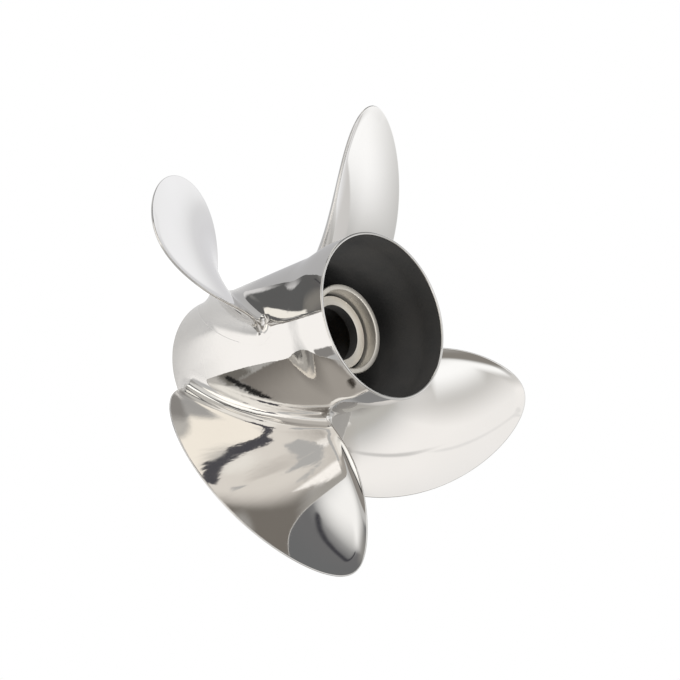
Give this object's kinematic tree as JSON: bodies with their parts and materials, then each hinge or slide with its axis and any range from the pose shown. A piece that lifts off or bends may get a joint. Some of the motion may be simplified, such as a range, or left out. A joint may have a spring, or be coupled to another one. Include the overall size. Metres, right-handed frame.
{
  "type": "outboard boat propeller",
  "caption": "Right-hand boat propeller with raked, cupped blades on a flared hub barrel, an exhaust passage through the hub and a splined drive sleeve in a rubber bush.",
  "frame": {"origin": "on the shaft axis, in the plane of the hub's front end, on which the propeller stands", "axes": "+Z along the shaft axis from the front end to the tail rim, +X through the middle of blade_1's root"},
  "size_m": [0.3428, 0.3428, 0.166],
  "materials": {
    "polished_steel": "mirror-polished stainless steel",
    "machined_steel": "turned stainless steel",
    "black_coating": "black coating on stainless steel",
    "rubber": "moulded rubber",
    "brass": "machined brass"
  },
  "bodies": {
    "root": {"hub_barrel": "polished_steel", "blade_1": "polished_steel", "blade_2": "polished_steel", "blade_3": "polished_steel", "blade_4": "polished_steel", "hub_tube": "machined_steel", "seat_ring": "machined_steel", "rib_1": "black_coating", "rib_2": "black_coating", "rib_3": "black_coating", "rib_4": "black_coating", "rubber_bush": "rubber", "drive_sleeve": "brass"}
  },
  "joints": []
}
